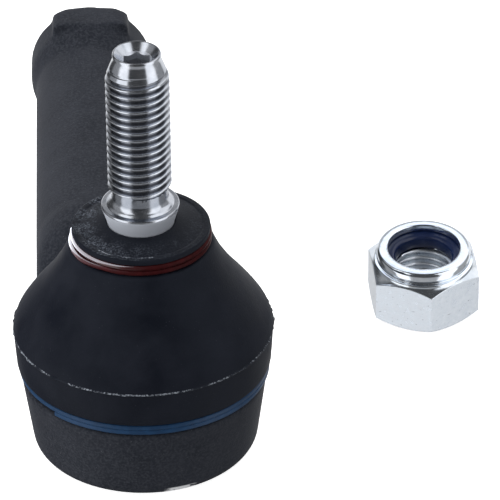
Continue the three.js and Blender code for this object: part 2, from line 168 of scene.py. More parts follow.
def smooth_through(points, per_span=6):
    """A Catmull-Rom curve through the points."""
    given = np.array(points, float)
    padded = np.vstack([2 * given[0] - given[1], given, 2 * given[-1] - given[-2]])
    line = []
    for before, start, end, after in zip(padded, padded[1:], padded[2:], padded[3:]):
        linear = end - before
        square = 2 * before - 5 * start + 4 * end - after
        cube = 3 * start - before - 3 * end + after
        for t in np.arange(per_span) / per_span:
            line.append(0.5 * (2 * start + linear * t + square * t**2 + cube * t**3))
    line.append(given[-1])
    return [tuple(point) for point in line]


def smooth_step(value, start, end):
    """Rises from 0 at start to 1 at end, level at both."""
    t = np.clip((value - start) / (end - start), 0, 1)
    return t * t * (3 - 2 * t)


def superellipse(angles, power):
    """Across and up on a unit outline: a circle at power 2, and squarer at more."""
    cosine, sine = np.cos(angles), np.sin(angles)
    across = np.sign(cosine) * np.abs(cosine) ** (2 / power)
    up = np.sign(sine) * np.abs(sine) ** (2 / power)
    return across, up


def columns_of(count):
    """The angle of each column round a turned grid."""
    return np.arange(count) * TURN / count


def hex_radius(angles, across_flats):
    """Distance from the axis to a hexagon's side, with a corner at angle 0."""
    return across_flats / 2 / np.cos(np.mod(angles, TURN / 6) - TURN / 12)


def thread_rings(angles, thread, bottom, top, envelope, rows_per_pitch=36, inner=False):
    """Rings of a right-hand thread between two heights.

    envelope(height) gives the radius that the thread fades into at its ends. The crest and the
    root are flat up to an edge, in pitches from the middle of the crest.
    """
    crest_edge, root_edge = 1 / 16, 3 / 8
    softness = 0.6
    rings = []
    count = int((top - bottom) / thread["pitch"] * rows_per_pitch)
    for height in np.linspace(bottom, top, count):
        phase = np.mod(height / thread["pitch"] - angles / TURN, 1)
        from_crest = np.minimum(phase, 1 - phase)
        slope = np.clip((from_crest - crest_edge) / (root_edge - crest_edge), 0, 1)
        slope = (1 - softness) * slope + softness * slope**2 * (3 - 2 * slope)
        if inner:
            slope = 1 - slope
        radius = thread["major"] - (thread["major"] - thread["minor"]) * slope
        limit = envelope(height)
        radius = np.maximum(radius, limit) if inner else np.minimum(radius, limit)
        rings.append((radius, height))
    return rings


# ---- Mesh makers ----

SHARP_ANGLE = 35


def mesh_object(name, vertices, faces, sharp_angle=SHARP_ANGLE):
    """A smooth-shaded object whose edges over sharp_angle degrees stay sharp."""
    mesh = bpy.data.meshes.new(name)
    mesh.from_pydata((np.asarray(vertices) * MM).tolist(), [], faces)
    mesh.validate()
    mesh.shade_smooth()
    mesh.set_sharp_from_angle(angle=math.radians(sharp_angle))
    made = bpy.data.objects.new(name, mesh)
    bpy.context.scene.collection.objects.link(made)
    return made


def grid_faces(rings, columns, loop):
    """Quads between neighbouring rings, and a flat cap at each end of an open stack."""
    faces = []
    for ring in range(rings if loop else rings - 1):
        below, above = ring * columns, (ring + 1) % rings * columns
        for column in range(columns):
            right = (column + 1) % columns
            faces.append((below + column, below + right, above + right, above + column))
    if not loop:
        faces.append(tuple(range(columns - 1, -1, -1)))
        faces.append(tuple(range((rings - 1) * columns, rings * columns)))
    return faces


def turned_grid(rings, columns):
    """Vertices of rings about Z. Radii and heights are numbers or one value per column."""
    angles = columns_of(columns)
    stack = []
    for radius, height in rings:
        level = height + np.zeros(columns)
        stack.append(np.stack([radius * np.cos(angles), radius * np.sin(angles), level], 1))
    return np.concatenate(stack)


def turned(name, rings, columns, loop=False, sharp_angle=SHARP_ANGLE):
    """A closed body turned about Z: a stack capped at both ends, or a closed loop of rings."""
    vertices = turned_grid(rings, columns)
    return mesh_object(name, vertices, grid_faces(len(rings), columns, loop), sharp_angle)


def lofted_grid(sections, columns):
    """Vertices of superellipse sections (y, x, z, half_width, half_height, power) along Y."""
    angles = columns_of(columns)
    stack = []
    for y, x, z, half_width, half_height, power in sections:
        across, up = superellipse(angles, power)
        level = np.full(columns, float(y))
        stack.append(np.stack([x + half_width * across, level, z + half_height * up], 1))
    return np.concatenate(stack)


def evaluated_mesh(made):
    """Applies the object's modifiers to its mesh."""
    graph = bpy.context.evaluated_depsgraph_get()
    final = bpy.data.meshes.new_from_object(made.evaluated_get(graph))
    made.modifiers.clear()
    made.data = final


def cut(body, cutters):
    """Subtracts each cutter from the body. Each comes with the material of its cut faces."""
    for cutter, material in cutters:
        cutter.data.materials.append(material)
        boolean = body.modifiers.new("cut", "BOOLEAN")
        boolean.operation = "DIFFERENCE"
        boolean.solver = "EXACT"
        boolean.material_mode = "TRANSFER"
        boolean.object = cutter
        evaluated_mesh(body)
        bpy.data.objects.remove(cutter)


# ---- Materials ----

# Rubber and paint reflect a little bluer than they are lit.
BLUE_SHEEN = (0.78, 0.87, 1.0)

# A painted highlight, a near-white strip on the cup's bottom edge: degrees right of the front, and
# millimetres.
PAINTED_GLINT_AZIMUTH = 17
PAINTED_GLINT_HALF_WIDTH = 9
PAINTED_GLINT_FADE = 4
PAINTED_GLINT_HEIGHT = 1.7

# The red ring's glossy film ends near the front (degrees), and reaches lower at the left (mm).
FILM_END = 1
FILM_BOTTOM_FRONT = FLANGE_BOTTOM - 0.5
FILM_BOTTOM_LEFT = FLANGE_BOTTOM - 1.75


class Nodes:
    """A node tree in the making. Values are numbers, colours or other nodes' outputs."""

    def __init__(self, tree, coordinates="Object"):
        self.tree = tree
        self.place = self.node("TexCoord").outputs[coordinates]

    def put(self, socket, value):
        if isinstance(value, bpy.types.NodeSocket):
            self.tree.links.new(value, socket)
        elif socket.type == "RGBA":
            socket.default_value = (*value, 1)
        else:
            socket.default_value = value

    def fill(self, made, inputs):
        """Fills a node's inputs, named with _ for a space."""
        for key, value in inputs.items():
            self.put(made.inputs[key.replace("_", " ")], value)

    def feed(self, made, *values):
        """Fills a node's inputs in their order."""
        for socket, value in zip(made.inputs, values):
            self.put(socket, value)

    def node(self, kind, **inputs):
        made = self.tree.nodes.new("ShaderNode" + kind)
        self.fill(made, inputs)
        return made

    def math(self, operation, *values):
        made = self.node("Math")
        made.operation = operation
        self.feed(made, *values)
        return made.outputs["Value"]

    def product(self, value, *factors):
        for factor in factors:
            value = self.math("MULTIPLY", value, factor)
        return value

    def remap(self, value, low, high, new_low=0.0, new_high=1.0):
        """Stretches low to high onto new_low to new_high, and holds it there outside."""
        made = self.node("MapRange", Value=value, From_Min=low, From_Max=high)
        self.fill(made, {"To_Min": new_low, "To_Max": new_high})
        return made.outputs["Result"]

    def part(self, axis):
        """One coordinate of the point, in metres."""
        return self.node("SeparateXYZ", Vector=self.place).outputs[axis]

    def distance_from_axis(self):
        """How far the point is from the stud's axis, in metres."""
        x, y = self.part("X"), self.part("Y")
        squares = self.math("ADD", self.product(x, x), self.product(y, y))
        return self.math("POWER", squares, 0.5)

    def azimuth(self):
        """The point's angle about the stud's axis: 0 in front and positive to the right."""
        return self.math("ARCTAN2", self.part("X"), self.product(self.part("Y"), -1.0))


class Finish(Nodes):
    """A procedural material around one Principled shader."""

    def __init__(self, name, roughness=0.5, metallic=0.0, specular=0.5, tint=(1, 1, 1)):
        self.material = bpy.data.materials.new(name)
        self.material.use_nodes = True
        super().__init__(self.material.node_tree)
        self.shader = self.tree.nodes["Principled BSDF"]
        self.shade(Roughness=roughness, Metallic=metallic)
        self.shade(Specular_IOR_Level=specular, Specular_Tint=tint)
        self.height = None

    def shade(self, **inputs):
        """Fills the shader's inputs, named with _ for a space."""
        self.fill(self.shader, inputs)

    def noise(self, size_mm, detail=3.0, roughness=0.5, stretch=(1, 1, 1)):
        """Noise with features of about size_mm, from 0 to 1, longer along a stretched axis."""
        scale = tuple(1 / (size_mm * MM * s) for s in stretch)
        vector = self.node("Mapping", Vector=self.place, Scale=scale).outputs["Vector"]
        made = self.node("TexNoise", Vector=vector, Scale=1.0, Detail=detail, Roughness=roughness)
        return made.outputs["Fac"]

    def spread(self, noise, new_low=0.0, new_high=1.0):
        """Stretches the middle of a noise, where nearly all of it lies."""
        return self.remap(noise, 0.3, 0.7, new_low, new_high)

    def cells(self, size_mm):
        """Distance to the nearest of scattered points, in units of about size_mm."""
        made = self.node("TexVoronoi", Vector=self.place, Scale=1 / (size_mm * MM))
        return made.outputs["Distance"]

    def between(self, value, low, high, soft):
        """1 between low and high, falling to 0 over soft at each end, all in millimetres."""
        rise = self.remap(value, (low - soft / 2) * MM, (low + soft / 2) * MM)
        fall = self.remap(value, (high + soft / 2) * MM, (high - soft / 2) * MM)
        return self.product(rise, fall)

    def mix(self, amount, first, second):
        """A colour between two colours."""
        made = self.node("Mix")
        made.data_type = "RGBA"
        for key, value in (("Factor", amount), ("A", first), ("B", second)):
            self.put(next(s for s in made.inputs if s.name == key and s.enabled), value)
        return next(s for s in made.outputs if s.enabled)

    def colour(self, amount, first, second):
        self.shade(Base_Color=self.mix(amount, first, second))

    def mix_value(self, amount, first, second):
        """A number between two numbers."""
        change = self.math("SUBTRACT", second, first)
        return self.math("ADD", first, self.product(amount, change))

    def bump(self, height, depth_mm):
        """Adds a relief of depth_mm on top of the reliefs already there."""
        made = self.node("Bump", Height=height, Strength=1.0, Distance=depth_mm * MM)
        if self.height is not None:
            self.put(made.inputs["Normal"], self.height)
        self.height = made.outputs["Normal"]
        self.shade(Normal=self.height)


def painted_forging():
    """Charcoal paint over a rough forged skin, with a painted highlight on a bit of the bottom edge.
    """
    skin = Finish("painted_forging", specular=0.12, tint=BLUE_SHEEN)
    grain = skin.noise(0.42, detail=4, roughness=0.65)
    drift = skin.noise(7)
    tone = skin.mix(skin.spread(drift), (0.0135, 0.0155, 0.0215), (0.023, 0.0255, 0.034))
    tone = skin.mix(skin.remap(grain, 0.42, 0.68), tone, (0.040, 0.043, 0.053))
    dots = skin.remap(skin.cells(0.55), 0.15, 0.07)
    dots = skin.product(dots, skin.remap(skin.noise(1.4), 0.52, 0.62, 0, 0.6))
    paint = skin.mix(dots, tone, (0.15, 0.16, 0.18))
    # Painted highlight: the front of the bottom edge is painted near white where it would reflect the
    # surface.
    off_centre = skin.math("SUBTRACT", skin.azimuth(), math.radians(PAINTED_GLINT_AZIMUTH))
    off_centre = skin.math("ABSOLUTE", off_centre)
    edge, inside = math.radians(PAINTED_GLINT_HALF_WIDTH), math.radians(PAINTED_GLINT_HALF_WIDTH - PAINTED_GLINT_FADE)
    low = skin.remap(skin.part("Z"), PAINTED_GLINT_HEIGHT * MM, (PAINTED_GLINT_HEIGHT - 0.25) * MM)
    forward = skin.remap(skin.part("Y"), -10 * MM, -12 * MM)
    streaks = skin.remap(skin.noise(0.5, stretch=(3, 3, 1)), 0.34, 0.42)
    painted_glint = skin.product(skin.remap(off_centre, edge, inside), low, forward, streaks)
    skin.colour(painted_glint, paint, (0.92, 0.93, 0.96))
    skin.shade(Roughness=skin.mix_value(painted_glint, skin.spread(grain, 0.5, 0.68), 0.3))
    skin.bump(skin.noise(2.2, detail=2), 0.035)
    skin.bump(grain, 0.055)
    return skin.material


def bare_steel():
    """Cut steel inside the shank and the bore, with a fine grain."""
    skin = Finish("bare_steel", roughness=0.34, metallic=1.0)
    skin.colour(skin.noise(3.0), (0.30, 0.30, 0.31), (0.42, 0.42, 0.44))
    skin.bump(skin.noise(0.12), 0.01)
    return skin.material


def boot_rubber():
    """Satin black rubber, faintly blue, with a soft moulded grain."""
    skin = Finish("boot_rubber", specular=0.13, tint=BLUE_SHEEN)
    drift = skin.noise(6)
    tone = skin.mix(skin.spread(drift), (0.0036, 0.0047, 0.0090), (0.0104, 0.0121, 0.0186))
    specks = skin.remap(skin.cells(0.6), 0.11, 0.05)
    specks = skin.product(specks, skin.remap(skin.noise(2.5), 0.5, 0.62, 0, 0.35))
    skin.colour(specks, tone, (0.09, 0.10, 0.12))
    skin.shade(Roughness=skin.spread(drift, 0.52, 0.66))
    skin.bump(skin.noise(0.35), 0.03)
    skin.bump(skin.noise(3.5, detail=1), 0.05)
    return skin.material


def dust_and_light_rubber():
    """The flange's top: the same rubber with pale dust, and painted light that puts most of it on the
    left.
    """
    skin = Finish("dust_and_light_rubber", roughness=0.55, specular=0.18, tint=BLUE_SHEEN)
    tone = skin.mix(skin.noise(3), (0.0041, 0.0051, 0.0088), (0.0075, 0.0088, 0.0134))
    dust_and_left_light = skin.remap(skin.noise(0.3, detail=4, roughness=0.7), 0.46, 0.72)
    # Painted light: the pale specks are weighted to the left, where the light falls.
    side = skin.remap(skin.part("X"), 3 * MM, -7 * MM, 0.2, 1)
    patches = skin.remap(skin.noise(2.2, detail=2), 0.3, 0.6)
    outer = skin.remap(skin.distance_from_axis(), 6.2 * MM, 8.2 * MM)
    dust_and_left_light = skin.product(dust_and_left_light, side, patches, outer)
    skin.colour(dust_and_left_light, tone, (0.15, 0.17, 0.21))
    skin.bump(skin.noise(0.3), 0.03)
    return skin.material


def painted_sheen_rubber():
    """Rubber at a mould line, with pale flecks of painted sheen that come and go along it."""
    skin = Finish("painted_sheen_rubber", roughness=0.6, specular=0.2, tint=BLUE_SHEEN)
    # Painted sheen: pale flecks where the edge would catch the light.
    painted_sheen_flecks = skin.remap(skin.noise(0.3, roughness=0.7), 0.47, 0.6)
    dashes = skin.remap(skin.noise(3.2, detail=2), 0.42, 0.52)
    painted_sheen_flecks = skin.product(painted_sheen_flecks, dashes)
    skin.colour(painted_sheen_flecks, (0.008, 0.010, 0.016), (0.30, 0.33, 0.38))
    skin.bump(skin.noise(0.25), 0.02)
    return skin.material


def stud_zinc():
    """Zinc plating: bright on crests, with painted shade in the thread's roots, darker on the waist,
    matt under the collar.
    """
    skin = Finish("stud_zinc")
    cloud = skin.noise(1.8)
    bright = skin.mix(skin.spread(cloud), (0.46, 0.49, 0.55), (0.62, 0.65, 0.71))
    z, radius = skin.part("Z"), skin.distance_from_axis()
    into_cone = skin.math("MAXIMUM", skin.math("SUBTRACT", z, THREAD_TOP * MM), 0.0)
    narrowing = skin.product(into_cone, TIP_SLOPE)
    depth = skin.math("SUBTRACT", STUD_THREAD["major"] * MM, skin.math("ADD", radius, narrowing))
    # Painted shade: the roots between the crests are painted darker, where shade falls.
    painted_root_shade = skin.remap(depth, 0.18 * MM, 0.44 * MM)
    painted_root_shade = skin.product(painted_root_shade, skin.between(z, THREAD_BOTTOM + 0.1, THREAD_TOP + 1.9, 0.2))
    on_waist = skin.between(z, STUD_COLLAR_TOP + 1.1, THREAD_BOTTOM + 0.1, 0.4)
    colour = skin.mix(skin.product(on_waist, 0.6), bright, (0.17, 0.19, 0.23))
    colour = skin.mix(painted_root_shade, colour, (0.20, 0.21, 0.235))
    on_taper = skin.between(z, STUD_COLLAR_BOTTOM - 1.2, STUD_COLLAR_TOP - 0.425, 0.15)
    in_socket = skin.between(z, TIP_HEIGHT - SOCKET_DEPTH - 2, TIP_HEIGHT, 0.1)
    socket_wall = SOCKET_ACROSS_FLATS / math.sqrt(3) * MM
    near_axis = skin.remap(radius, socket_wall + 0.1 * MM, socket_wall)
    matt = skin.math("MAXIMUM", on_taper, skin.product(in_socket, near_axis, 0.35))
    skin.colour(matt, colour, (0.68, 0.72, 0.80))
    skin.shade(Metallic=skin.mix_value(matt, 1.0, 0.35))
    skin.shade(Roughness=skin.mix_value(matt, skin.spread(cloud, 0.14, 0.24), 0.5))
    skin.bump(skin.noise(0.9, detail=2), 0.005)
    return skin.material


def nut_zinc():
    """Bright zinc plating on the nut's turned and crimped parts."""
    skin = Finish("nut_zinc", metallic=1.0)
    cloud = skin.noise(2.0)
    skin.colour(skin.spread(cloud), (0.67, 0.73, 0.81), (0.80, 0.845, 0.90))
    skin.shade(Roughness=skin.spread(cloud, 0.11, 0.18))
    skin.bump(skin.noise(1.6, detail=2), 0.025)
    return skin.material


def nut_flats():
    """Zinc on the nut's forged flats: satin, with small dark scratches and pits."""
    skin = Finish("nut_flats", metallic=1.0)
    mottle = skin.noise(0.8, detail=4, roughness=0.6)
    bright = skin.mix(skin.spread(mottle), (0.56, 0.61, 0.67), (0.67, 0.71, 0.765))
    marks = skin.remap(skin.noise(0.7, stretch=(1, 1, 0.4)), 0.685, 0.73)
    skin.colour(marks, bright, (0.22, 0.24, 0.27))
    skin.shade(Roughness=skin.spread(mottle, 0.26, 0.36))
    skin.bump(mottle, 0.008)
    return skin.material


def ring_coat(name, dark, light, roughness, specular=0.25):
    """Coated wire with slight unevenness in the coating."""
    skin = Finish(name, roughness=roughness, specular=specular)
    skin.colour(skin.spread(skin.noise(1.2)), dark, light)
    skin.bump(skin.noise(0.5), 0.006)
    return skin


def blue_ring():
    return ring_coat("blue_ring", (0.0058, 0.031, 0.082), (0.0090, 0.045, 0.116), 0.42).material


def red_ring():
    """Dark red, with a glossy film left on the upper part of the ring's left half."""
    skin = ring_coat("red_ring", (0.028, 0.0048, 0.0056), (0.050, 0.0076, 0.0088), 0.34, 0.04)
    azimuth = skin.azimuth()
    left = skin.remap(azimuth, math.radians(FILM_END + 2), math.radians(FILM_END - 2))
    edge = skin.remap(azimuth, -TURN / 4, 0, FILM_BOTTOM_LEFT * MM, FILM_BOTTOM_FRONT * MM)
    above_edge = skin.math("SUBTRACT", skin.part("Z"), edge)
    film = skin.product(left, skin.remap(above_edge, -0.05 * MM, 0.05 * MM))
    skin.shade(Coat_Weight=film, Coat_Roughness=0.12, Coat_IOR=1.5)
    return skin.material


def nut_nylon():
    """Glossy navy nylon."""
    skin = Finish("nut_nylon", roughness=0.25, specular=0.4)
    skin.colour(skin.noise(1.5), (0.0055, 0.0115, 0.040), (0.010, 0.020, 0.070))
    skin.bump(skin.noise(0.6), 0.01)
    return skin.material


def bearing_plastic():
    """Moulded acetal, off-white with a waxy sheen."""
    skin = Finish("bearing_plastic", roughness=0.4)
    skin.colour(skin.noise(4), (0.74, 0.71, 0.63), (0.80, 0.78, 0.71))
    skin.bump(skin.noise(0.4), 0.008)
    return skin.material


def plain_steel(name, dark, light, roughness, grain_mm):
    """Rolled or stamped steel with a directionless grain."""
    skin = Finish(name, metallic=1.0)
    cloud = skin.noise(grain_mm * 6)
    skin.colour(skin.spread(cloud), dark, light)
    skin.shade(Roughness=skin.spread(cloud, roughness - 0.06, roughness + 0.1))
    skin.bump(skin.noise(grain_mm), 0.01)
    return skin.material


def shown(made, material, body, node):
    """Gives a piece its slot, a material and a body if named, and shows it for a CAD node."""
    if material is not None:
        made.data.materials.append(material)
    if body is not None:
        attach(made, body)
    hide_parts(node)


# ---- Housing ----

FORGING_VOXEL = 0.38
STRAIGHT_START = 33
FLARE_START = 79
COLLAR_END_ROUND = 0.8

# Sections of the neck between the cup and the shank: y, x, z, half width, half height, power.
NECK_SECTIONS = [
    (0, -2, 6.5, 14.5, 5, 4),
    (8, -3, 6.5, 14, 5, 3.6),
    (16, -4.5, 8, 12.4, 6.8, 3),
    (22.5, -6.9, 13, 10.1, 11, 2.6),
    (27, -7.4, 15.9, 9.55, 9.8, 2.3),
    (31, SHANK_OFFSET, BALL_HEIGHT, SHANK_HALF_WIDTH, SHANK_HALF_HEIGHT, 2),
]


def cup_outline():
    """The cup's outside before machining."""
    round_edge = 2.3
    return [
        (0.5, 0),
        *arc((CUP_BASE_RADIUS - round_edge, round_edge), round_edge, -90, 0, 9),
        *rounded([
            (CUP_BASE_RADIUS + 0.05, round_edge + 0.3),
            (CUP_RIM_RADIUS, CUP_RIM_HEIGHT, 0.7), (SEAT_RADIUS, CUP_RIM_HEIGHT, 0.4),
            (SEAT_RADIUS, SEAT_TOP, 0.6), (MOUTH_RADIUS, MOUTH_HEIGHT, 0.6),
            (0.5, MOUTH_HEIGHT),
        ]),
    ]


def shank_section(y, half_width, half_height):
    return (y, SHANK_OFFSET, BALL_HEIGHT, half_width, half_height, 2)


def shank_sections():
    """The neck's smooth rise, the straight shank, and its flare into the wrench collar."""
    sections = smooth_through(NECK_SECTIONS, per_span=5)
    for y in np.arange(STRAIGHT_START, FLARE_START, 2):
        sections.append(shank_section(y, SHANK_HALF_WIDTH, SHANK_HALF_HEIGHT))
    for t in np.linspace(0, 1, 8):
        y = FLARE_START + (COLLAR_START - FLARE_START) * t
        size = smooth_step(t, 0, 1)
        half_width = SHANK_HALF_WIDTH + (COLLAR_RADIUS - SHANK_HALF_WIDTH) * size
        half_height = SHANK_HALF_HEIGHT + (COLLAR_RADIUS - SHANK_HALF_HEIGHT) * size
        sections.append(shank_section(y, half_width, half_height))
    end = COLLAR_RADIUS - COLLAR_END_ROUND
    sections.append(shank_section(SHANK_END - COLLAR_END_ROUND, COLLAR_RADIUS, COLLAR_RADIUS))
    sections.append(shank_section(SHANK_END, end, end))
    return sections


def pad_grid(columns):
    """The block whose top and bottom are the wrench pads, its rear corners turned off."""
    power = 14
    half_length = (SHANK_END - COLLAR_START) / 2
    corner = math.hypot(PAD_HALF_WIDTH, PAD_HALF_HEIGHT)
    turned_off = PAD_HALF_HEIGHT + 0.2
    levels = np.linspace(COLLAR_START - 0.3, SHANK_END, 14)
    sections = [(y, 0, 0, PAD_HALF_WIDTH, PAD_HALF_HEIGHT, power) for y in levels]
    grid = lofted_grid(sections, columns)
    from_rear = np.clip((SHANK_END - grid[:, 1]) / half_length, 0, 1)
    limit = turned_off + (corner - turned_off) * from_rear
    reach = np.hypot(grid[:, 0], grid[:, 2])
    grid[:, [0, 2]] *= np.minimum(1, limit / reach)[:, None]
    return grid + np.array([SHANK_OFFSET, 0, BALL_HEIGHT])


def forged_blank():
    """Cup, neck, shank, collar and pads melted into one forging with soft inner corners."""
    columns = 128
    parts = [
        (turned_grid(cup_outline(), columns), False),
        (lofted_grid(shank_sections(), columns), True),
        (pad_grid(columns), True),
    ]
    vertices, faces = [], []
    start = 0
    for grid, along_y in parts:
        for face in grid_faces(len(grid) // columns, columns, loop=False):
            order = face[::-1] if along_y else face
            faces.append(tuple(index + start for index in order))
        vertices.append(grid)
        start += len(grid)
    blank = mesh_object("housing_forging", np.concatenate(vertices), faces)
    remesh = blank.modifiers.new("melt", "REMESH")
    remesh.mode = "VOXEL"
    remesh.voxel_size = FORGING_VOXEL * MM
    relax = blank.modifiers.new("relax", "SMOOTH")
    relax.factor = 0.5
    relax.iterations = 7
    evaluated_mesh(blank)
    return blank


def shank_thread_cutter():
    """What the tap and drill take out of the shank, made about Z and laid along the shank."""
    columns = 96
    bottom = SHANK_END - SHANK_THREAD_DEPTH
    chamfer_bottom = SHANK_END - 1.2
    minor = SHANK_THREAD["minor"]
    drill_point = 0.6 * minor
    entry = minor + 1.3

    def fade(height):
        return minor + max(0, height - chamfer_bottom)

    rings = [(0.3, bottom - drill_point), (minor, bottom)]
    rings += thread_rings(
        columns_of(columns), SHANK_THREAD, bottom + 0.5, SHANK_END - 0.1, fade, 14, inner=True
    )
    rings += [(entry, SHANK_END + 0.05), (entry, SHANK_END + 2)]
    cutter = turned("shank_tap", rings, columns)
    place = Matrix.Translation(Vector((SHANK_OFFSET, 0, BALL_HEIGHT)) * MM)
    cutter.data.transform(place @ Matrix.Rotation(-math.pi / 2, 4, "X"))
    return cutter


def cavity_cutter():
    """The machined inside of the cup: lip, plate recess, bearing bore and throat."""
    recess = PLATE_RADIUS + GAP
    recess_top = ROLLED_LIP + PLATE_THICKNESS + 2 * GAP
    lip = PLATE_RADIUS - 0.8
    flare = THROAT_RADIUS + MOUTH_HEIGHT - THROAT_HEIGHT
    outline = rounded([
        (0.5, -1), (lip + 0.9, -1), (lip + 0.9, 0), (lip, 0.8, 0.5), (lip, ROLLED_LIP),
        (recess, ROLLED_LIP), (recess, recess_top), (BEARING_BORE_RADIUS, recess_top),
        (BEARING_BORE_RADIUS, SEAT_TOP - 0.5), (THROAT_RADIUS, THROAT_HEIGHT, 0.4),
        (flare, MOUTH_HEIGHT), (flare + 1, MOUTH_HEIGHT + 1), (0.5, MOUTH_HEIGHT + 1),
    ])
    return turned("cavity", outline, 128)


def relief_cutter():
    """The turned clearance around the boot, down to the cup's ledge and the boot's seat."""
    top = MOUTH_HEIGHT + 2
    ledge = CUP_RIM_HEIGHT + 0.05
    outline = rounded([
        (SEAT_RADIUS, ledge, 0.3), (BOOT_RELIEF_RADIUS, ledge, 0.8), (BOOT_RELIEF_RADIUS, top),
        (MOUTH_RADIUS, top), (MOUTH_RADIUS, MOUTH_HEIGHT + 0.02), (SEAT_RADIUS, SEAT_TOP),
    ])
    return turned("relief", outline, 160, loop=True)


def make_housing(paint, steel):
    housing = forged_blank()
    housing.data.materials.append(paint)
    relief, cavity, thread = relief_cutter(), cavity_cutter(), shank_thread_cutter()
    cut(housing, [(relief, paint), (cavity, steel), (thread, steel)])
    housing.data.shade_smooth()
    housing.data.set_sharp_from_angle(angle=math.radians(SHARP_ANGLE))
    shown(housing, None, "housing", "housing")


# ---- Bearing stack and closing plate ----

SHELL_FLOOR = 6.0
SHELL_HOLE_RADIUS = 6.0
GREASE_GROOVES = 8
GROOVE_DEPTH = 0.35


def make_shells(plastic):
    """Two plastic half shells with a rounded rim and grease grooves on their inside."""
    bore = BALL_RADIUS + GAP
    outside = BEARING_BORE_RADIUS - GAP
    columns = 96
    groove = GROOVE_DEPTH * np.clip(np.cos(columns_of(columns) * GREASE_GROOVES) * 3 - 1.6, 0, 1)

    def sphere(start, end):
        """Rings of the ball's seat between two latitudes in degrees, with the grooves."""
        seat = arc((0, BALL_HEIGHT), bore, start, end, 14)
        return [(radius + groove, height) for radius, height in seat]

    joint = BALL_HEIGHT - 0.2
    lower = rounded([
        (SHELL_HOLE_RADIUS, SHELL_FLOOR), (outside, SHELL_FLOOR, 0.6),
        (outside, joint, 0.2), (bore + 0.5, joint),
    ])
    lower_shell = turned("lower_shell", lower + sphere(-1.5, -57.5), columns, loop=True)
    shown(lower_shell, plastic, "housing", "lower_bearing_shell")
    joint = BALL_HEIGHT + 0.2
    top = THROAT_HEIGHT - 0.4
    upper = rounded([
        (bore + 0.5, joint), (outside, joint, 0.2), (outside, SEAT_TOP - 0.6, 0.4),
        (THROAT_RADIUS - 0.1, top, 0.3), (bore - 2.4, top),
    ])
    upper_shell = turned("upper_shell", upper + sphere(39, 1.5), columns, loop=True)
    shown(upper_shell, plastic, "housing", "upper_bearing_shell")


def make_spring(steel):
    """A coned disc spring with rounded edges."""
    thickness = 0.7
    outside = BEARING_BORE_RADIUS - 0.4
    outer_bottom = ROLLED_LIP + PLATE_THICKNESS + 2 * GAP
    hole = 7
    inner_top = SHELL_FLOOR - GAP
    start = (hole + 1, inner_top - 0.9)
    outline = rounded([
        start, (outside, outer_bottom, 0.2), (outside, outer_bottom + thickness, 0.2),
        (hole, inner_top, 0.2), (hole, inner_top - thickness, 0.2), start,
    ])
    spring = turned("disc_spring", outline[:-1], 96, loop=True)
    shown(spring, steel, "housing", "preload_disc_spring")


def make_closing_plate(steel):
    """A stamped dish with a shallow button pressed up in its middle."""
    edge = ROLLED_LIP + GAP
    top, edge_top = PLATE_THICKNESS, edge + PLATE_THICKNESS
    slope = 1.8
    pressed_in, pressed_out, press = 2.2, 3.0, 0.35
    outline = rounded([
        (0.3, press), (pressed_in, press, 0.5), (pressed_out, 0, 0.5),
        (DISH_RADIUS, 0, 0.8), (DISH_RADIUS + slope, edge, 0.6),
        (PLATE_RADIUS, edge, 0.3), (PLATE_RADIUS, edge_top, 0.3),
        (DISH_RADIUS + slope / 2, edge_top, 0.6), (DISH_RADIUS - slope / 2, top, 0.8),
        (pressed_out, top, 0.5), (pressed_in, top + press, 0.5), (0.3, top + press),
    ])
    plate = turned("closing_plate_stamping", outline, 128)
    shown(plate, steel, "housing", "closing_plate")


# ---- Ball stud ----


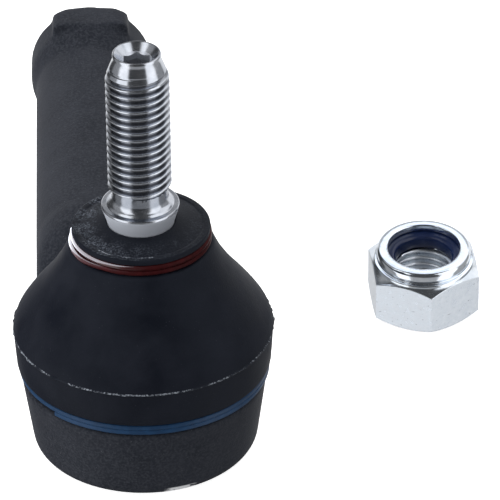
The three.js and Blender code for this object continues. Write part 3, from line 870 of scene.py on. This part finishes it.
def make_stud(zinc):
    """Ball, neck, collar, waist and thread in one turned piece, with a hex socket in its tip."""
    columns = 144
    angles = columns_of(columns)
    flat_bottom = 7
    flat_latitude = -math.degrees(math.asin((BALL_HEIGHT - flat_bottom) / BALL_RADIUS))
    neck_latitude = math.degrees(math.acos(NECK_RADIUS / BALL_RADIUS))
    chamfer_start = THREAD_BOTTOM - 0.3
    fillet = 1.25
    body = [
        (0.3, flat_bottom),
        *arc((0, BALL_HEIGHT), BALL_RADIUS, flat_latitude, neck_latitude - 1.5, 40),
        *rounded([
            (NECK_RADIUS, 27.1), (NECK_RADIUS, STUD_COLLAR_BOTTOM, 0.5),
            (STUD_COLLAR_RADIUS - 0.02, STUD_COLLAR_TOP - 0.45, 0.35),
            (STUD_COLLAR_RADIUS - 0.05, STUD_COLLAR_TOP - 0.1, 0.12),
            (STUD_COLLAR_RADIUS - 0.2, STUD_COLLAR_TOP, 0.1),
            (5.25, STUD_COLLAR_TOP + 0.02, 0.1), (5.05, STUD_COLLAR_TOP + 0.3),
        ]),
        *arc((WAIST_RADIUS + fillet, STUD_COLLAR_TOP + fillet + 0.2), fillet, 238, 180, 8),
        (WAIST_RADIUS, chamfer_start - 0.5),
    ]

    major = STUD_THREAD["major"]

    def envelope(height):
        """The crest follows the run-in above the waist, then the tip's cone."""
        run_in = WAIST_RADIUS + max(0, height - chamfer_start)
        cone = major - max(0, height - THREAD_TOP) * TIP_SLOPE
        return min(major, run_in, cone)

    thread_end = THREAD_TOP + (major - STUD_THREAD["minor"]) / TIP_SLOPE - 0.05
    thread = thread_rings(angles, STUD_THREAD, chamfer_start, thread_end, envelope)
    tip_start = thread_end + 0.1
    mouth = TIP_RADIUS - GAP
    mouth_inside, mouth_bottom = mouth - 0.1, TIP_HEIGHT - 0.1
    socket_bottom = TIP_HEIGHT - SOCKET_DEPTH
    socket = hex_radius(angles + TURN / 12, SOCKET_ACROSS_FLATS)
    countersink = math.tan(math.radians(SOCKET_COUNTERSINK / 2))
    tip = [
        *rounded([
            (envelope(tip_start), tip_start), (TIP_RADIUS - 0.04, TIP_CONE_TOP, 0.5),
            (TIP_RADIUS + 0.02, TIP_HEIGHT - 0.25, 0.2), (TIP_RADIUS - 0.13, TIP_HEIGHT, 0.12),
            (mouth, TIP_HEIGHT, 0.1), (mouth_inside, mouth_bottom),
        ]),
        (socket, mouth_bottom - (mouth_inside - socket) / countersink),
        (socket, socket_bottom),
        (0.2, socket_bottom - 1.0),
    ]
    stud = turned("ball_stud_forging", body + thread + tip, columns, sharp_angle=40)
    shown(stud, zinc, "stud", "ball_stud")


# ---- Boot and clamp rings ----

# The boot's outside from its shoulder up to the upper clamp ring.
BELL = [
    (SHOULDER_RADIUS, SHOULDER_HEIGHT + 0.35), (19.8, 23), (18.5, 25), (17, 27), (15.4, 29),
    (14.05, 31), (12.85, 33), (11.9, 35), (11.45, 36.1),
]
BOOT_WALL = 1.8
DUST_AND_LIGHT_TOP, PAINTED_SHEEN = 1, 2

# Each wave is (waves in a turn, shift, weight); their sum breaks a line into uneven dashes.
PARTING_DASHES = ((7, 0.4, 0.5), (19, 2.1, 0.45), (43, 1.3, 0.5), (97, 0.7, 0.45))

# The flange's rim has a painted highlight along a line: millimetres, and degrees from the front.
RIM_LINE_RADIUS = FLANGE_RADIUS - 0.75
RIM_LINE_AZIMUTH = -17
RIM_LINE_HALF_WIDTH = 26


def flash(angles):
    """How far the mould's flash stands out round the parting line, broken into dashes."""
    wave = sum(weight * np.sin(count * angles + shift) for count, shift, weight in PARTING_DASHES)
    return 0.05 + 0.16 * np.clip(0.35 + wave, 0, 1.4)


def boot_rings(angles):
    """Rings of the boot: up its outside from the lower groove, over the flange and down inside."""
    inside = [(radius - BOOT_WALL, height - BOOT_WALL / 2) for radius, height in BELL[1:]][::-1]
    lip = NECK_RADIUS + 0.10
    parting = SHOULDER_RADIUS + flash(angles)
    return [
        *rounded([
            (SEAT_RADIUS + GAP, BOOT_BOTTOM + 0.05),
            (LOWER_GROOVE_RADIUS, BOOT_BOTTOM + 0.05, 0.3), (LOWER_GROOVE_RADIUS, BAND_BOTTOM, 0.3),
            (BAND_RADIUS, BAND_BOTTOM, 0.45), (BAND_RADIUS + 0.1, BAND_BOTTOM + 1.5),
        ]),
        *smooth_through(
            [(BAND_RADIUS + 0.15, 17), (BAND_RADIUS + 0.28, 19), (SHOULDER_RADIUS - 0.03, 20.5)], 4
        ),
        (SHOULDER_RADIUS, SHOULDER_HEIGHT - 0.16),
        (parting, SHOULDER_HEIGHT - 0.03),
        (parting, SHOULDER_HEIGHT + 0.03),
        (SHOULDER_RADIUS, SHOULDER_HEIGHT + 0.16),
        *smooth_through(BELL),
        *rounded([
            (11.35, 36.3), (11.1, 36.55, 0.2), (UPPER_GROOVE_RADIUS, 36.7, 0.2),
            (UPPER_GROOVE_RADIUS, FLANGE_BOTTOM, 0.2), (FLANGE_RADIUS, FLANGE_BOTTOM, 0.25),
            (FLANGE_RADIUS, FLANGE_TOP, 0.25), (FLANGE_RADIUS - 0.5, FLANGE_TOP + 0.02, 0.1),
            (RIM_LINE_RADIUS + 0.05, FLANGE_TOP + 0.04),
            (RIM_LINE_RADIUS - 0.25, FLANGE_TOP + 0.03),
            (FLANGE_RADIUS - 1.2, FLANGE_TOP - 0.05, 0.2), (7.2, FLANGE_TOP + 0.5, 0.8),
            (NECK_RADIUS + 0.35, STUD_COLLAR_BOTTOM + 0.12, 0.3),
            (lip, STUD_COLLAR_BOTTOM - 0.05, 0.1), (lip, 36.4, 0.3), (inside[0][0] - 0.4, 35.4),
        ]),
        *smooth_through(inside, 4),
        (SEAT_RADIUS + GAP, SEAT_TOP - 1),
    ]


def make_boot(rubber, dust_and_light_top, painted_sheen):
    """The boot as one turned piece, with its flange's top, parting line and rim line in materials of
    their own.
    """
    columns = 288
    angles = columns_of(columns)
    azimuths = (np.degrees(angles) + 270) % 360 - 180
    rings = boot_rings(angles)
    boot = turned("dust_boot_moulding", rings, columns, loop=True, sharp_angle=50)
    shown(boot, rubber, None, "dust_boot")
    boot.data.materials.append(dust_and_light_top)
    boot.data.materials.append(painted_sheen)
    for ring, (radius, height) in enumerate(rings):
        radius, height = np.max(radius), np.max(height)
        row = range(ring * columns, (ring + 1) * columns)
        on_flange = height > FLANGE_TOP - 0.3 and NECK_RADIUS + 0.3 < radius < FLANGE_RADIUS - 0.1
        on_rim = height > FLANGE_TOP - 0.1 and abs(radius - RIM_LINE_RADIUS) < 0.06
        on_parting = SHOULDER_HEIGHT - 0.2 < height < SHOULDER_HEIGHT + 0.1
        for face, azimuth in zip(row, azimuths):
            # Painted sheen on the parting line, and a painted highlight along part of the rim line.
            if on_parting or on_rim and abs(azimuth - RIM_LINE_AZIMUTH) < RIM_LINE_HALF_WIDTH:
                boot.data.polygons[face].material_index = PAINTED_SHEEN
            elif on_flange:
                boot.data.polygons[face].material_index = DUST_AND_LIGHT_TOP
    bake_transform(boot)


def coil(name, path, wire, power=2.0, sides=24):
    """A wire of section (width, height) along path, a list of (angle, radius, height)."""
    across, up = superellipse(columns_of(sides), power)
    across, up = across * wire[0] / 2, up * wire[1] / 2
    sections = []
    for angle, radius, height in path:
        out = radius + across
        sections.append(np.stack([out * math.cos(angle), out * math.sin(angle), height + up], 1))
    faces = [face[::-1] for face in grid_faces(len(path), sides, loop=False)]
    return mesh_object(name, np.concatenate(sections), faces, 60)


def make_clamp_rings(blue, red):
    """Two-turn wires. Each climbs onto its first turn where the stud hides the climb."""
    steps_per_turn = 220
    wire = (0.82, 0.84)
    radius = LOWER_RING_RADIUS - wire[0] / 2
    path = []
    for turns in np.arange(0, 1.72, 1 / steps_per_turn):
        climb = smooth_step(turns, 0.5, 1.0) * wire[1] * 0.94
        angle = math.radians(LOWER_RING_START) + turns * TURN
        path.append((angle, radius, BOOT_BOTTOM + 0.02 + wire[1] / 2 + climb))
    lower = coil("lower_ring_wire", path, wire, power=4.0)
    shown(lower, blue, "boot", "lower_clamp_ring")

    wire = (0.92, 0.88)
    radius = UPPER_RING_RADIUS - wire[0] / 2
    path = []
    for turns in np.arange(0, 1.9, 1 / steps_per_turn):
        climb = smooth_step(turns, 0.78, 1.0) * wire[1] * 0.97
        angle = math.radians(UPPER_RING_START) + turns * TURN
        azimuth = (math.degrees(angle) + 90 + 180) % 360 - 180
        spring = smooth_step(azimuth, -128, -92) * smooth_step(-azimuth, 32, 62)
        spring *= 1 - smooth_step(turns, 0.7, 0.9)
        height = FLANGE_BOTTOM - 1.5 * wire[1] - 0.02 + climb
        path.append((angle, radius + 0.28 * spring, height - 0.34 * spring))
    upper = coil("upper_ring_wire", path, wire)
    shown(upper, red, "boot_neck", "upper_clamp_ring")
    return upper


# ---- Lock nut ----


def nut_place():
    """Where the nut lies: flat on the surface, which is tilted in the part's frame."""
    height = (NUT_PLACE[1] - REST_EDGE) * math.tan(REST_TILT)
    place = Matrix.Translation(Vector((*NUT_PLACE, height)) * MM)
    return place @ Matrix.Rotation(REST_TILT, 4, "X") @ Matrix.Rotation(math.radians(NUT_TURN), 4, "Z")


def make_nut(zinc, flats, nylon):
    """The nut's hexagon, crimped crown and thread as one loop of rings, and its nylon insert."""
    columns = 192
    angles = columns_of(columns)
    side = hex_radius(angles, NUT_ACROSS_FLATS)
    top_radius = NUT_ACROSS_FLATS / 2 - 0.25
    slope = math.tan(math.radians(30))
    foot_rise = (side - NUT_FOOT_RADIUS) * slope
    corner_drop = (side - top_radius) * slope
    bevel = 0.06
    crown = rounded([
        (top_radius - 0.03, NUT_HEX_HEIGHT), (NUT_BEAD_RADIUS, NUT_HEX_HEIGHT + 0.02, 0.06),
        (NUT_BEAD_RADIUS, NUT_HEX_HEIGHT + 0.45, 0.25),
        (NUT_CROWN_RADIUS - 0.15, NUT_HEX_HEIGHT + 0.55, 0.25),
        (NUT_CROWN_RADIUS, NUT_HEX_HEIGHT + 0.95, 0.3), (NUT_CROWN_RADIUS, NUT_HEIGHT, 1.6),
        (NUT_MOUTH_RADIUS, NUT_HEIGHT - 0.02, 0.3),
        (NUT_MOUTH_RADIUS + 0.05, POCKET_TOP, 0.1),
        (POCKET_RADIUS, POCKET_TOP), (POCKET_RADIUS, POCKET_BOTTOM),
        (NUT_THREAD["major"], POCKET_BOTTOM),
    ], steps=9)
    entry_height = 0.8

    def fade(height):
        return NUT_THREAD["minor"] + max(0, entry_height - height)

    thread_top = POCKET_BOTTOM - 0.15
    thread = thread_rings(angles, NUT_THREAD, 0.1, thread_top, fade, inner=True)[::-1]
    hexagon = [
        (NUT_FOOT_RADIUS, 0.0), (side - bevel, foot_rise - bevel * slope), (side, foot_rise + bevel),
        (side, NUT_HEX_HEIGHT - corner_drop - bevel),
        (side - bevel, NUT_HEX_HEIGHT - corner_drop + bevel * slope),
    ]
    rings = [*hexagon, *crown, *thread, (NUT_THREAD["minor"] + entry_height + 0.05, 0.0)]
    nut = turned("lock_nut_forging", rings, columns, loop=True, sharp_angle=28)
    nut.data.transform(nut_place())
    shown(nut, zinc, "lock_nut", "lock_nut_body")
    nut.data.materials.append(flats)
    thread_row = len(hexagon) + len(crown)
    for ring in [*range(len(hexagon) - 1), *range(thread_row, thread_row + len(thread))]:
        for face in nut.data.polygons[ring * columns : (ring + 1) * columns]:
            face.material_index = 1
    outside, bottom = POCKET_RADIUS - GAP, POCKET_BOTTOM + GAP
    outline = rounded([
        (INSERT_BORE_RADIUS + 0.1, bottom), (outside, bottom, 0.3),
        (outside, POCKET_TOP - GAP / 2, 0.3),
        (INSERT_BORE_RADIUS + 0.2, POCKET_TOP - GAP, 0.7),
        (INSERT_BORE_RADIUS, POCKET_BOTTOM + 0.9),
    ], steps=7)
    insert = turned("lock_nut_nylon", outline, 128, loop=True)
    insert.data.transform(nut_place())
    shown(insert, nylon, "lock_nut", "lock_nut_insert")
    return nut


# ---- Stage: floor, light and camera ----

FLOOR_GLOW = 0.8
FLOOR_HALF_SIZE = 1500
FLOOR_DROP = 0.09


def make_floor():
    """A pale floor under the rod end, tilted with it, clear from below and throwing no light up."""
    skin = Finish("floor", roughness=0.7, specular=0.0)
    skin.colour(skin.noise(60), (0.90, 0.90, 0.90), (0.92, 0.92, 0.92))
    skin.shade(Emission_Color=(1, 1, 1), Emission_Strength=FLOOR_GLOW)
    clear = skin.node("BsdfTransparent").outputs[0]
    below = skin.node("NewGeometry").outputs["Backfacing"]
    one_sided = skin.node("MixShader")
    skin.feed(one_sided, below, skin.shader.outputs[0], clear)
    skin.fill(skin.tree.nodes["Material Output"], {"Surface": one_sided.outputs[0]})
    half = FLOOR_HALF_SIZE
    corners = [(-half, -half, 0), (half, -half, 0), (half, half, 0), (-half, half, 0)]
    floor = mesh_object("floor", corners, [(0, 1, 2, 3)])
    pivot = Vector((0, REST_EDGE, -FLOOR_DROP)) * MM
    floor.matrix_world = Matrix.Translation(pivot) @ Matrix.Rotation(REST_TILT, 4, "X")
    floor.data.materials.append(skin.material)
    floor.visible_glossy = False
    floor.visible_diffuse = False
    floor.visible_shadow = False


# What polished metal sees round the part: azimuth 0 is in front of the stud and 90 its right.
# Each patch is (azimuth, half width, elevation, half height, edge softness, brightness).
DOME_RADIUS = 900
DOME_CENTRE_HEIGHT = 45
STUDIO_AMBIENT = 0.075
STUDIO_PATCHES = [
    (-58, 22, 4, 56, 6, 1.5),
    (60, 22, 4, 56, 6, 1.5),
    (-100, 18, -10, 60, 10, 0.34),
    (102, 18, -10, 60, 10, 0.38),
    (168, 44, -10, 32, 10, 1.0),
    (168, 44, 34, 14, 10, 0.4),
    (102, 44, 40, 20, 8, 1.15),
    (0, 40, -45, 25, 12, 0.4),
]


def make_studio_dome():
    """A dome that only reflections see: strip lights, dim sides, a back wall and top panels."""
    material = bpy.data.materials.new("studio_dome")
    material.use_nodes = True
    material.cycles.emission_sampling = "NONE"
    material.node_tree.nodes.clear()
    nodes = Nodes(material.node_tree)
    calc = nodes.math
    azimuth = nodes.azimuth()
    elevation = calc("ARCTAN2", nodes.part("Z"), nodes.distance_from_axis())

    def window(angle, centre, half, soft):
        """1 within half of the centre, falling to 0 over soft, all in degrees."""
        away = calc("SUBTRACT", angle, math.radians(centre))
        away = calc("WRAP", away, -math.pi, math.pi)
        inside = calc("SUBTRACT", math.radians(half), calc("ABSOLUTE", away))
        ramp = calc("DIVIDE", inside, math.radians(soft))
        return calc("MINIMUM", calc("MAXIMUM", calc("ADD", ramp, 0.5), 0.0), 1.0)

    light = STUDIO_AMBIENT
    for turn, half_width, height, half_height, soft, brightness in STUDIO_PATCHES:
        across = window(azimuth, turn, half_width, soft)
        up = window(elevation, height, half_height, soft)
        light = calc("MAXIMUM", light, nodes.product(across, up, brightness))
    emission = nodes.node("Emission", Strength=light)
    nodes.node("OutputMaterial", Surface=emission.outputs[0])

    dome = turned("studio_dome", arc((0, 0), DOME_RADIUS, -89, 89, 24), 48)
    dome.location = (0, 0, DOME_CENTRE_HEIGHT * MM)
    dome.data.materials.append(material)
    dome.visible_camera = False
    dome.visible_diffuse = False
    dome.visible_shadow = False
    dome.visible_transmission = False


def direction(azimuth, elevation):
    """A unit vector: azimuth 0 points to the front and 90 to the right, in degrees."""
    a, e = math.radians(azimuth), math.radians(elevation)
    return Vector((math.sin(a) * math.cos(e), -math.cos(a) * math.cos(e), math.sin(e)))


# The world is brightest towards its key direction (azimuth, elevation).
WORLD_KEY = (-120, 30)
WORLD_DARKEST = 0.1
WORLD_BRIGHTEST = 1.85


def make_world():
    """Soft light from all round, strongest from the upper left, seen by no reflection."""
    world = bpy.data.worlds.new("studio")
    bpy.context.scene.world = world
    world.use_nodes = True
    world.cycles_visibility.glossy = False
    nodes = Nodes(world.node_tree, "Generated")
    towards = nodes.node("VectorMath")
    towards.operation = "DOT_PRODUCT"
    nodes.feed(towards, nodes.place, direction(*WORLD_KEY))
    strength = nodes.remap(towards.outputs["Value"], -1, 1, WORLD_DARKEST, WORLD_BRIGHTEST)
    nodes.fill(nodes.tree.nodes["Background"], {"Strength": strength, "Color": (1, 1, 1)})


# Softboxes: which way each stands from its piece (azimuth, elevation), and millimetres.
SOFTBOX_COLOUR = (0.85, 0.90, 1.0)
RING_SOFTBOX = {"towards": (-125, 28), "distance": 230, "size": (1000, 800), "brightness": 8}
NUT_SOFTBOX = {"towards": (180, 62), "distance": 500, "size": (700, 420), "brightness": 1.2}


def make_softbox(name, receiver, target, towards, distance, size, brightness):
    """A softbox aimed at a target point (in mm), seen only in the receiver's reflections."""
    data = bpy.data.lights.new(name, "AREA")
    data.shape = "RECTANGLE"
    data.size, data.size_y = (side * MM for side in size)
    data.energy = brightness * math.pi * data.size * data.size_y
    data.color = SOFTBOX_COLOUR
    panel = bpy.data.objects.new(name, data)
    away = direction(*towards)
    panel.location = (Vector(target) + away * distance) * MM
    panel.rotation_euler = away.to_track_quat("Z", "Y").to_euler()
    panel.visible_diffuse = False
    bpy.context.scene.collection.objects.link(panel)
    lit = bpy.data.collections.new(name + "_receiver")
    lit.objects.link(receiver)
    panel.light_linking.receiver_collection = lit


# The photograph's viewing angle: a long lens from the front, a little rolled. Angles are in
# degrees about the part's origin, and the camera then shifts sideways and up in its own frame.
CAMERA_AZIMUTH, CAMERA_ELEVATION, CAMERA_ROLL = -1.67, 32.265, -0.67
CAMERA_RIGHT, CAMERA_UP, CAMERA_DISTANCE = 16.86, 29.12, 795.9
CAMERA_LENS = 360


def make_camera():
    level = Matrix.Rotation(math.radians(CAMERA_AZIMUTH), 4, "Z")
    level = level @ Matrix.Rotation(math.radians(90 - CAMERA_ELEVATION), 4, "X")
    place = level @ Vector((CAMERA_RIGHT, CAMERA_UP, CAMERA_DISTANCE)) * MM
    roll = Matrix.Rotation(math.radians(CAMERA_ROLL), 4, "Z")
    data = bpy.data.cameras.new("camera")
    data.lens = CAMERA_LENS
    data.sensor_width = 36
    data.clip_start, data.clip_end = 0.01, 20
    camera = bpy.data.objects.new("camera", data)
    bpy.context.scene.collection.objects.link(camera)
    camera.matrix_world = Matrix.Translation(place) @ level @ roll
    bpy.context.scene.camera = camera


# ---- Everything ----

make_camera()
make_floor()
make_studio_dome()
make_world()
bpy.context.scene.view_settings.view_transform = "Standard"
make_housing(painted_forging(), bare_steel())
make_shells(bearing_plastic())
make_spring(plain_steel("spring_steel", (0.20, 0.21, 0.23), (0.32, 0.33, 0.35), 0.32, 0.5))
make_closing_plate(plain_steel("plate_steel", (0.34, 0.35, 0.37), (0.46, 0.47, 0.49), 0.38, 0.7))
make_stud(stud_zinc())
make_boot(boot_rubber(), dust_and_light_rubber(), painted_sheen_rubber())
red_wire = make_clamp_rings(blue_ring(), red_ring())
nut = make_nut(nut_zinc(), nut_flats(), nut_nylon())
make_softbox("ring_softbox", red_wire, target=(0, 0, FLANGE_BOTTOM), **RING_SOFTBOX)
make_softbox("nut_softbox", nut, target=(*NUT_PLACE, NUT_HEIGHT), **NUT_SOFTBOX)
